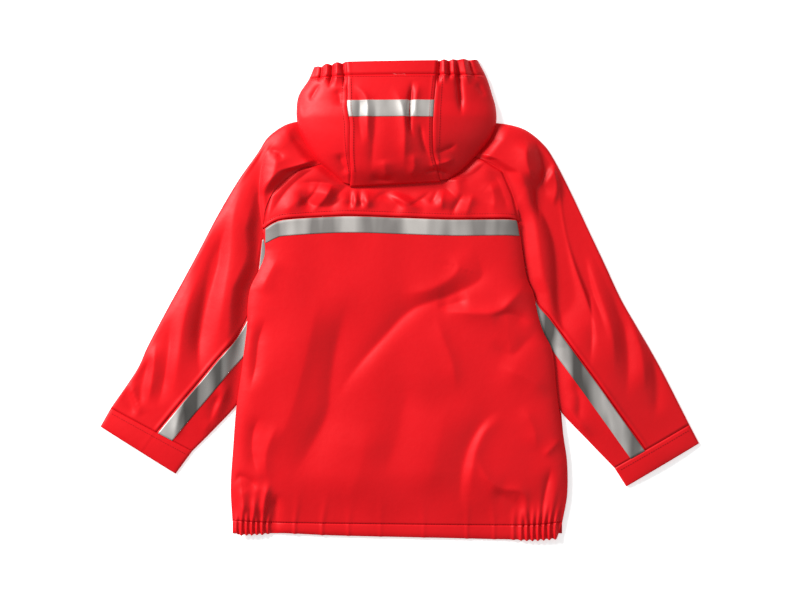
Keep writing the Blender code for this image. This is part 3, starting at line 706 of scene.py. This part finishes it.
def stitches(name, lines, pitch=3.3, length=2.4, radius=0.30):
    """Rows of short thread stitches, each a six-sided bead along its line: 3-D points in, one mesh out."""
    points, faces = [], []
    ring = np.radians(np.arange(6) * 60.0)
    stations = np.array([-0.5, -0.4, -0.18, 0.18, 0.4, 0.5])
    girth = np.array([0.15, 0.7, 1.0, 1.0, 0.7, 0.15])
    index = np.arange(36).reshape(6, 6)
    quads = np.stack([index[:-1], np.roll(index, -1, 1)[:-1], np.roll(index, -1, 1)[1:], index[1:]], -1)
    quads = quads.reshape(-1, 4)
    caps = np.array([[0, 5, 4, 3], [0, 3, 2, 1], [30, 31, 32, 33], [30, 33, 34, 35]])
    quads = np.vstack([quads[:, ::-1], caps[:, ::-1]])
    for line in lines:
        line = np.asarray(line, float)
        run = run_of(line)
        centres = np.arange(pitch / 2, run[-1], pitch)
        behind, at, ahead = (np.stack([np.interp(centres + step, run, line[:, k]) for k in range(3)], -1)
                             for step in (-0.5, 0.0, 0.5))
        way = ahead - behind
        way /= np.linalg.norm(way, axis=1)[:, None] + 1e-9
        side = np.stack([-way[:, 1], way[:, 0], np.zeros(len(way))], -1)
        side /= np.linalg.norm(side, axis=1)[:, None] + 1e-9
        up = np.cross(way, side)
        bead = (at[:, None, None] + way[:, None, None] * (stations * length)[None, :, None, None]
                + (side[:, None, None] * np.cos(ring)[None, None, :, None]
                   + up[:, None, None] * np.sin(ring)[None, None, :, None])
                * (girth * radius)[None, :, None, None])
        bead = bead.reshape(len(at), 36, 3)
        base = 36 * (sum(len(p) for p in points) + np.arange(len(at)))
        points.append(bead)
        faces.append((quads[None] + base[:, None, None]).reshape(-1, 4))
    piece = mesh_from(name, np.concatenate(points).reshape(-1, 3), np.concatenate(faces), THREAD)
    declare(piece, None)


def on_body(plan, yoke=False):
    """A 3-D line on the back's outside from plan points."""
    return np.column_stack([plan, body_top(plan[:, 0], plan[:, 1], yoke) + BODY_THREAD])


# ---------------------------------------------------------------- body

def denser_ends(count, by):
    """Shares from 0 to 1, closer together at both ends: u - by * sin(2 pi u)."""
    u = np.linspace(0, 1, count)
    return u - by * np.sin(2 * math.pi * u)


def sleeve_edge(sleeve, where):
    """Plan points of a sleeve's inner fold and raglan seam, at given sections."""
    return spline(sleeve, where)[:, 2:4]


def back_plan(share, height):
    """Plan points of the lower back at shares across and up."""
    seam = along(YOKE_SEAM, share)
    low_seam = seam - [0, GAP]
    left = along(SIDE_LEFT[:-1] + (tuple(low_seam[0]),), height)
    right = along(SIDE_RIGHT[:-1] + (tuple(low_seam[-1]),), height)
    return filled(along(HEM_STITCH, share), low_seam, left, right, height)


def make_back():
    """Lower back from the hem stitching to the yoke seam, its tape, and the yoke up to the neck."""
    share = denser_ends(221, 0.08)
    plan = back_plan(share, np.linspace(0, 1, 171))
    grid = raised(plan, body_top(plan[..., 0], plan[..., 1]))
    sheet("back_lower_cloth", "back_body", grid)

    share = np.linspace(0.012, 0.988, 261)
    plan = back_plan(share, np.linspace(TAPE_FOOT, 0.9985, 15))
    corner = np.maximum(0, 1 - np.minimum(share, 1 - share) / 0.03)[None] ** 2
    plan[:4, :, 1] += 3.0 * corner * np.linspace(1, 0, 4)[:, None]
    grid = raised(plan, body_top(plan[..., 0], plan[..., 1]) + TAPE_LIFT)
    sewn_tape("back_tape_cloth", "tape_back", grid)

    share = denser_ends(201, 0.06)
    seam = along(YOKE_SEAM, share)
    where = np.linspace(RAGLAN, NECK, 81)
    left = sleeve_edge(SLEEVE_LEFT, where) - [YOKE_LAP, 0]
    right = sleeve_edge(SLEEVE_RIGHT, where) + [YOKE_LAP, 0]
    seam[0] = left[0]
    seam[-1] = right[0]
    plan = filled(seam, along(NECK_BACK, share), left, right, np.linspace(0, 1, 81))
    grid = raised(plan, body_top(plan[..., 0], plan[..., 1], yoke=True))
    sheet("yoke_cloth", "back_yoke", grid)

    share = np.linspace(0.02, 0.98, 300)
    above = along(YOKE_SEAM, share) + [0, TOPSTITCH]
    hem = along(HEM_STITCH, share) + [0, 0.8]
    stitches("back_topstitching", [on_body(above, True), on_body(hem)])


def make_back_hem():
    """The turned hem: it carries the gathers over its edge, which scallops and rolls under."""
    share = denser_ends(421, 0.10)
    top = along(HEM_STITCH, share) - [0, 0.05]
    edge = along(HEM_EDGE, share)
    down = np.array([0, 0.12, 0.25, 0.4, 0.55, 0.7, 0.82, 0.92, 0.98, 1.0])[:, None, None]
    plan = top[None] + (edge - top)[None] * down
    ridge = hem_gathers(edge[:, 0], np.full(len(edge), -290.0))
    plan[..., 1] += (0.8 - 0.55 * ridge)[None] * down[..., 0] ** 2
    x, y = plan[..., 0], plan[..., 1]
    fall = np.array([0, 0, 0, 0, 0, 0.1, 0.35, 0.8, 1.3, 1.9])[:, None]
    level = body_top(x, np.maximum(y, -281.0)) + 0.5 * np.sin(np.pi * down[..., 0])
    grid = raised(plan, np.maximum(level - fall, HEM_FLOOR))
    sheet("hem_back_cloth", "hem_back", grid, thickness=HEM_CLOTH)


def make_fronts():
    """The fronts lie flat on the ground under everything, with their turned hems."""
    where = np.concatenate([np.arange(2, RAGLAN), np.linspace(RAGLAN, NECK, 9)])
    sides = (("left", -1, SLEEVE_LEFT, SIDE_LEFT), ("right", 1, SLEEVE_RIGHT, SIDE_RIGHT))
    for side, sign, sleeve, body_side in sides:
        low = [row for row in body_side if row[1] < -150]
        outer = np.vstack([along(low, np.array([0, 0.5, 1])), sleeve_edge(sleeve, where)])
        outer[:, 0] -= sign * GAP / 2
        centre_x = sign * (ZIP_HALF + GAP)
        centre_y = np.linspace(outer[0, 1], outer[-1, 1] + 11, len(outer))
        centre = np.stack([np.full(len(outer), centre_x), centre_y], -1)
        share = np.linspace(0, 1, 25)[:, None]
        hem = outer[0] + (centre[0] - outer[0]) * share
        neck = outer[-1] + (centre[-1] - outer[-1]) * share
        grid = raised(filled(hem, neck, outer, centre, np.linspace(0, 1, len(outer))), 0.0)
        sheet(f"front_{side}_cloth", f"front_{side}", grid, thickness=WALL, outward=True)
        edge = hem - [0, GAP]
        end = np.stack([edge[:, 0], np.full(len(edge), FRONT_HEM_EDGE)], -1)
        grid = raised(np.linspace(edge, end, 5), 0.0)
        sheet(f"hem_front_{side}_cloth", f"hem_front_{side}", grid, thickness=WALL, outward=True)


def boxes(name, centres, size, material):
    """Many equal boxes as one mesh."""
    signs = np.array([[x, y, z] for z in (-1, 1) for y in (-1, 1) for x in (-1, 1)]) * 0.5
    points = centres[:, None] + signs[None] * size
    faces = np.array([[0, 2, 3, 1], [4, 5, 7, 6], [0, 1, 5, 4], [2, 6, 7, 3], [0, 4, 6, 2], [1, 3, 7, 5]])
    faces = faces[None] + 8 * np.arange(len(centres))[:, None, None]
    piece = mesh_from(name, points.reshape(-1, 3), faces.reshape(-1, 4), material)
    piece.data.shade_flat()
    return piece


def zip_rest(y):
    """Height of the zip's underside: on the ground, then up between the hood's chin parts."""
    return hood_rest(y) * ease((y - ZIP_RISES) / ZIP_RISE_RUN)


def make_closure():
    """The zip's tape, its teeth underneath, and the slider between the hood's chin parts."""
    y = np.concatenate([[FRONT_HEM_EDGE], np.linspace(ZIP_RISES, ZIP_TOP, 40)])
    level = zip_rest(y)
    x = np.linspace(-ZIP_HALF, ZIP_HALF, 9)
    plan = np.stack(np.broadcast_arrays(x[None], y[:, None]), -1)
    grid = raised(plan, level[:, None] + 0.35)
    declare(cloth("zip_tape", grid, PLASTIC, 0.5, outward=True), "front_zip")
    pitch = 3.0
    teeth = np.arange(FRONT_HEM_EDGE + 2.5, ZIP_TOP - 2, pitch)
    turn = np.where(np.arange(len(teeth)) % 2, 1.0, -1.0)
    boxes_at = np.stack([turn * 0.9, teeth, zip_rest(teeth) + 0.35], -1)
    declare(boxes("zip_teeth", boxes_at, np.array([3.2, 1.9, 0.6]), PLASTIC), None)
    middle = ZIP_TOP + GAP + 5.5
    parts = np.array([[0, middle, 0.45], [0, middle + 1.5, 1.35]])
    body = boxes("zip_slider_body", parts, np.array([[7.0, 10.6, 0.85], [2.2, 7.0, 0.7]])[:, None], PLASTIC)
    declare(body, "zip_slider")


# ---------------------------------------------------------------- sleeves

def sleeve_rows(sleeve, where):
    """Outer points, unit direction across, width and tape share of a sleeve's sections."""
    rows = spline(sleeve, where)
    outer, inner = rows[:, :2], rows[:, 2:4]
    width = np.linalg.norm(inner - outer, axis=1)
    return outer, (inner - outer) / width[:, None], width, np.clip(rows[:, 4], 0, 1)


def sleeve_clear(x, y):
    """0 under the back, 1 well outside it."""
    left, right = body_sides(y)
    return ease((np.maximum(left - x, x - right) - 1) / 22)


def sleeve_seam(tape, width, where):
    """Share of the width where the back seam runs, along the tape's outer edge."""
    seam = tape - (TAPE_WIDTH / 2 + SEAM_RIDGE) / width
    return seam + (1 - seam) * ease(where - RAGLAN + 1)


def sleeve_top(rows, where, share):
    """Points of a sleeve's upper side at given shares of its width.

    The puff is SLEEVE_PUFF * sin(pi * share) ** 0.75, flatter towards the cuff.  The creases, the ridge
    beside the back seam and the raglan's rise are added.
    """
    outer, across, width, tape = rows
    plan = outer[:, None] + across[:, None] * (width[:, None] * share)[..., None]
    x, y = plan[..., 0], plan[..., 1]
    inner = np.clip(share, 0, 1)
    bulge = np.sin(np.pi * inner) ** 0.75
    raglan = ease((where - 7) / 1.2)[:, None]
    bulge = bulge * (1 - raglan) + raglan * np.sin(np.pi / 2 * np.minimum(2.4 * inner, 1)) ** 0.8
    pressed = (0.30 + 0.70 * ease(where / 2.2))[:, None]
    clear = hood_clearance(x, y) * sleeve_clear(x, y)
    left, right = body_sides(y)
    away = np.maximum(np.maximum(left - x, x - right), 0)
    rise = raglan_rise(x, y) * np.exp(-away / 24) * ease(where - 7.6)[:, None]
    edge = np.minimum(inner, 1 - inner * (1 - raglan)) * width[:, None]
    wrinkles = 1.2 * creases(x, y, SLEEVE_CREASES) * ease((edge + 2) / 12)
    seam = (share - sleeve_seam(tape, width, where)[:, None]) * width[:, None]
    ridge = 0.9 * np.exp(-(((seam + 3.0) / 2.4) ** 2)) - 1.0 * np.exp(-((seam / 1.1) ** 2))
    ridge = ridge * (1 - raglan) * ease(edge / 6) * (0.15 + 0.85 * ease(where / 0.15))[:, None]
    height = SLEEVE_PUFF * bulge * pressed * clear + (wrinkles + ridge) * clear + rise
    return raised(plan, 2 * FOLD + lifted(height) - 0.5 * (1 - ease(edge / 4)))


def floor_lift(where):
    """How far a sleeve's underside stands clear of the ground, where it tapers in at the raglan."""
    return 0.75 * ease((where - 6.5) / 0.5)


def sleeve_floor(rows, where, share):
    """Points of a sleeve's underside at given shares of its width."""
    outer, across, width = rows[:3]
    plan = outer[:, None] + across[:, None] * (width[:, None] * share)[..., None]
    return raised(plan, floor_lift(where)[:, None])


def shares(start, stop, count):
    """For each section, evenly spaced shares of the width from start to stop."""
    return start[:, None] + (stop - start)[:, None] * np.linspace(0, 1, count)


def fold_slant(edge, across):
    """How much longer a fold is along sections that cross it at a slant: 1 / sin(angle), at most 5."""
    way = np.gradient(edge, axis=0)
    way = way / np.linalg.norm(way, axis=1)[:, None]
    return 1 / np.maximum(0.2, np.abs(across[:, 0] * way[:, 1] - across[:, 1] * way[:, 0]))


def make_upper_sleeve(side, sleeve):
    """From the back seam over the outer fold to the seam underneath."""
    where = np.concatenate([np.linspace(0, RAGLAN, 131), np.linspace(RAGLAN, NECK, 61)[1:]])
    rows = sleeve_rows(sleeve, where)
    outer, across, width, tape = rows
    edge = FOLD / width
    seam = sleeve_seam(tape, width, where) - 0.15 / width
    top = sleeve_top(rows, where, shares(seam, edge, 66))
    turned = rounded(outer, across, np.zeros(len(where)))
    floor = sleeve_floor(rows, where, shares(edge, seam, 12))
    grid = np.concatenate([top, turned, floor], 1)
    sheet(f"sleeve_upper_{side}_cloth", f"sleeve_upper_{side}", grid)


def make_under_sleeve(side, sleeve):
    """From the back seam round the inner fold, narrowing to the yoke seam, with the tape on top."""
    where = np.linspace(0, UNDER_END, 125)
    rows = sleeve_rows(sleeve, where)
    outer, across, width, tape = rows
    half = TAPE_WIDTH / 2 / width
    seam = sleeve_seam(tape, width, where)
    slant = fold_slant(outer + across * width[:, None], across)
    edge = 1 - (FOLD * slant + GAP) / width
    top = sleeve_top(rows, where, shares(seam, edge, 34))
    fold = outer + across * (width - GAP)[:, None]
    turned = rounded(fold, -across * slant[:, None], floor_lift(where))
    floor = sleeve_floor(rows, where, shares(edge, seam, 10))
    grid = np.concatenate([top, turned, floor], 1)
    sheet(f"sleeve_under_{side}_cloth", f"sleeve_under_{side}", grid)
    low = np.maximum(tape - half, seam + SEAM_RIDGE / 2 / width)
    high = np.minimum(tape + half, edge - SEAM_RIDGE / 2 / width)
    strip = sleeve_top(rows, where, shares(low, high, 15))[:-2] + [0, 0, TAPE_LIFT]
    sewn_tape(f"sleeve_tape_{side}_cloth", f"tape_sleeve_{side}", strip, SHADED)


def make_cuff(side, sleeve, end):
    """A turned hem: a flattened ring of cloth past the end of the sleeve, with a row of stitching."""
    outer, across, width, _ = sleeve_rows(sleeve, np.array([0.0]))
    near = np.concatenate([outer[0], outer[0] + across[0] * (width[0] - GAP)])
    far = np.array(end, float)
    step = (far - near)[:2]
    near = near + np.tile(step / np.linalg.norm(step) * 0.02, 2)
    run = np.array([0, 0.08, 0.2, 0.35, 0.5, 0.65, 0.8, 0.9, 0.96, 1.0])
    ends = near + (far - near) * run[:, None]
    outer, inner = ends[:, :2], ends[:, 2:]
    width = np.linalg.norm(inner - outer, axis=1)
    across = (inner - outer) / width[:, None]
    rows = (outer, across, width, np.full(len(run), sleeve[0][4]))
    edge = FOLD / width
    share = shares(1 - edge, edge, 60)
    top = sleeve_top(rows, np.zeros(len(run)), share)
    swell = 0.9 * np.sin(np.pi * run) ** 0.7 - 0.5 * ease((run - 0.85) / 0.15)
    top[..., 2] += swell[:, None] * np.sin(np.pi * share) ** 0.5
    under = sleeve_floor(rows, run * 0, share[:, ::-1][:, ::3])
    level = np.zeros(len(run))
    outer_fold = rounded(outer, across, level)
    inner_fold = rounded(inner, -across, level)[:, ::-1]
    grid = np.concatenate([top, outer_fold, under, inner_fold], 1)
    sheet(f"cuff_{side}_cloth", f"cuff_{side}", grid, ring=True)
    return top[2, 2:-2] + [0, 0, SEAM_THREAD]


# ---------------------------------------------------------------- hood

def hood_rest(y):
    """Height of the hood's underside: on the yoke, then down to the ground past the shoulders."""
    return HOOD_REST * (1 - ease((y - HOOD_LEAVES_BODY) / (HOOD_ON_GROUND - HOOD_LEAVES_BODY)))


def hood_section(length):
    """The HOOD table's columns at shares of the hood's length: four points, bulge height and seam share."""
    rows = spline(HOOD, length * (len(HOOD) - 1))
    return rows[:, 0:2], rows[:, 2:4], rows[:, 4:6], rows[:, 6:8], rows[:, 8], rows[:, 9]


def hood_height(plan, bulge, spread, length):
    """Height of the hood's outside: a bulge that closes on the pressed fold where spread reaches 1.

    Creases, the two panel seams' grooves and the casing's stitched dip are laid over it.
    """
    reach = np.clip(np.abs(spread), 0, 1)
    dome = (1 - reach**2.4) ** 0.6
    wrinkles = creases(plan[..., 0], plan[..., 1], HOOD_CREASES) * ease((1 - reach) / 0.16)
    dip = -1.4 * np.exp(-(((length - HOOD_HEM) * HOOD_LENGTH / 2.0) ** 2))[:, None]
    fade = ease(length / 0.05)[:, None]
    level = bulge[:, None] * dome + (wrinkles + dip) * np.minimum(1, bulge[:, None] / 8) * fade
    return hood_rest(plan[..., 1]) + 2 * FOLD + np.maximum(level, 0)


def seam_groove(distance):
    """A shallow groove at a seam with a raised allowance beside it, from the distance in mm."""
    return -0.35 * np.exp(-((distance / 1.6) ** 2)) + 0.5 * np.exp(-(((np.abs(distance) - 3.6) / 2.4) ** 2))


def hood_middle(length, columns=7):
    """Upper side of the middle panel between its two seams."""
    left, _, right, _, bulge, seam = hood_section(length)
    u = np.linspace(0, 1, columns)[None]
    plan = left[:, None] + (right - left)[:, None] * u[..., None]
    level = hood_height(plan, bulge, seam[:, None] * (2 * u - 1), length)
    width = np.linalg.norm(right - left, axis=1)[:, None]
    near = np.minimum(u, 1 - u) * width
    return raised(plan, level + seam_groove(near) * np.minimum(1, bulge / 8)[:, None])


def hood_side(side, length, columns):
    """A side panel: over the top from the seam, round the side fold and back underneath."""
    left_seam, left_fold, right_seam, right_fold, bulge, seam_share = hood_section(length)
    seam, fold = (left_seam, left_fold) if side == "left" else (right_seam, right_fold)
    width = np.linalg.norm(fold - seam, axis=1)
    out = (fold - seam) / width[:, None]
    start, stop = 0.05 / width, 1 - FOLD / width
    u = shares(start, stop, columns)
    plan = seam[:, None] + out[:, None] * (width[:, None] * u)[..., None]
    scallop = 0.5 * creases(plan[..., 0], plan[..., 1], HOOD_CREASES)
    scallop = scallop * ease((length - 0.93) / 0.07)[:, None]
    plan[..., 1] += scallop * ease((1 - u) / 0.1)
    spread = seam_share[:, None] + (1 - seam_share[:, None]) * u
    level = hood_height(plan, bulge, spread, length)
    top = raised(plan, level + seam_groove(u * width[:, None]) * np.minimum(1, bulge / 8)[:, None])
    turned = rounded(fold, -out, hood_rest(fold[:, 1]))
    chin = ease((length - HOOD_NECK) / 0.12)
    front_x = (-1 if side == "left" else 1) * (ZIP_HALF + GAP)
    end_x = (seam + out * GAP)[:, 0]
    end = np.stack([end_x + (front_x - end_x) * chin, seam[:, 1]], -1)
    begin = plan[:, -1]
    under = begin[:, None] + (end - begin)[:, None] * np.linspace(0, 1, 12)[None, :, None]
    return np.concatenate([top, turned, raised(under, hood_rest(under[..., 1]))], 1)


def make_hood():
    """Middle panel from the casing over the bulge and under to the neck, side panels, tape and casing."""
    length = np.linspace(0, HOOD_HEM, 120)
    top = hood_middle(length[::-1], 71)
    bottom = top[-1, :, :2].copy()
    top[-1, :, 1] += FOLD
    upwards = np.tile([0.0, 1.0], (len(bottom), 1))
    turned = rounded(bottom, upwards, hood_rest(bottom[:, 1])).transpose(1, 0, 2)
    under = hood_middle(np.linspace(0, HOOD_NECK, 12), 71)
    under[0, :, 1] += FOLD
    under[-1, :, 1] -= GAP
    under[..., 2] = hood_rest(under[..., 1])
    grid = np.concatenate([top, turned, under])
    sheet("hood_middle_cloth", "hood_middle", grid)
    strip = hood_middle(np.linspace(*HOOD_TAPE, 25), 91) + [0, 0, TAPE_LIFT]
    sewn_tape("hood_tape_cloth", "tape_hood", strip)
    hem = np.linspace(HOOD_HEM + HOOD_HEM_GAP, 1, 22)
    sheet("hood_casing_middle_cloth", "hood_casing_middle", hood_middle(hem, 91))
    stitch_row = np.array([CASING_STITCH, HOOD_HEM])
    lines = [hood_middle(stitch_row, 91)[0] + [0, 0, CASING_THREAD]]
    panel = np.linspace(HOOD_SIDE_START + 0.1, HOOD_HEM - 0.02, 200)
    middle = hood_middle(panel, 115)
    lines += [middle[:, 5] + [0, 0, SEAM_THREAD], middle[:, 109] + [0, 0, SEAM_THREAD]]
    for side in ("left", "right"):
        panel_length = np.linspace(HOOD_SIDE_START, HOOD_HEM, 120)
        grid = hood_side(side, panel_length, 56)
        sheet(f"hood_side_{side}_cloth", f"hood_side_{side}", grid)
        grid = hood_side(side, hem, 80)
        sheet(f"hood_casing_{side}_cloth", f"hood_casing_{side}", grid)
        lines.append(hood_side(side, stitch_row, 80)[0, :76] + [0, 0, CASING_THREAD])
        lines.append(hood_side(side, panel, 56)[:, 6] + [0, 0, SEAM_THREAD])
    stitches("hood_topstitching", lines)


# ---------------------------------------------------------------- light and floor

def area_light(name, place, aim, size, power):
    """A square soft light aimed at a point."""
    data = bpy.data.lights.new(name, "AREA")
    data.shape = "SQUARE"
    data.size = size
    data.energy = power
    lamp = placed(name, data)
    lamp.location = place
    way = np.array(aim, float) - np.array(place, float)
    flat = math.hypot(way[0], way[1])
    lamp.rotation_euler = (math.atan2(flat, -way[2]), 0, math.atan2(way[1], way[0]) - math.pi / 2)


def make_set():
    """A plain white floor, one large soft light from the upper left and a weak fill."""
    mesh = bpy.data.meshes.new("floor")
    far = 6.0
    low = -0.0003
    corners = [(-far, -far, low), (far, -far, low), (far, far, low), (-far, far, low)]
    mesh.from_pydata(corners, [], [(0, 1, 2, 3)])
    white = plain("floor", (0.95, 0.95, 0.95), 0.8)
    shader = white.node_tree.nodes["Principled BSDF"]
    shader.inputs["Emission Color"].default_value = (1.0, 1.0, 1.0, 1.0)
    shader.inputs["Emission Strength"].default_value = 0.42
    mesh.materials.append(white)
    placed("floor", mesh)
    area_light("key", (-2.1, 1.5, 1.35), (0, 0, 0), 1.0, 166)
    area_light("fill", (1.8, -0.6, 2.6), (0, 0, 0), 2.0, 10)
    world = bpy.data.worlds.new("studio")
    world.use_nodes = True
    back = world.node_tree.nodes["Background"]
    back.inputs["Color"].default_value = (1.0, 1.0, 1.0, 1.0)
    back.inputs["Strength"].default_value = 0.40
    bpy.context.scene.world = world
    bpy.context.scene.view_settings.view_transform = "Standard"


# ---------------------------------------------------------------- build

make_fronts()
make_closure()
make_back()
make_back_hem()
cuff_lines = []
sleeves = (("left", SLEEVE_LEFT, CUFF_END_LEFT), ("right", SLEEVE_RIGHT, CUFF_END_RIGHT))
for side, sleeve, cuff_end in sleeves:
    make_upper_sleeve(side, sleeve)
    make_under_sleeve(side, sleeve)
    cuff_lines.append(make_cuff(side, sleeve, cuff_end))
stitches("cuff_topstitching", cuff_lines)
make_hood()
make_set()
